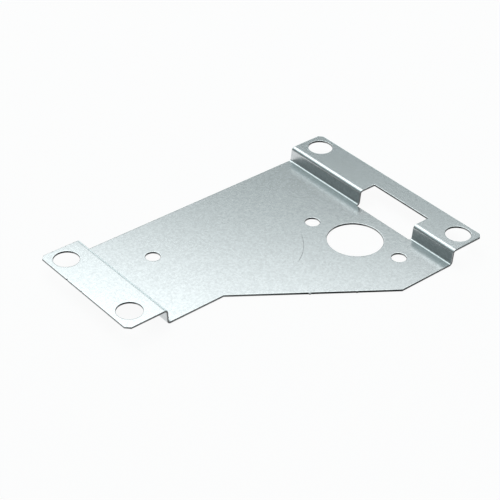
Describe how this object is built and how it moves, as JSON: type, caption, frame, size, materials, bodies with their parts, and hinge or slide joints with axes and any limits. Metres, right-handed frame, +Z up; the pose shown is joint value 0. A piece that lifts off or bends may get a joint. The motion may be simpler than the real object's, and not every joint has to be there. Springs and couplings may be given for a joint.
{
  "type": "freezer support bracket",
  "caption": "Folded sheet-steel support: a flat tapered plate between raised flanges, with a round opening, screw holes and a window punched across a bend.",
  "frame": {"origin": "centre of the bounding box in plan, at the underside of the low plate", "axes": "+X along the length, from the narrow end to the end with the window; +Y towards the long straight edge; +Z up, from the low plate to the raised flanges"},
  "size_m": [0.178, 0.1174, 0.0086],
  "materials": {
    "zinc_steel": "satin zinc-coated sheet steel with bare cut edges"
  },
  "bodies": {
    "root": {"support_plate": "zinc_steel"}
  },
  "joints": []
}
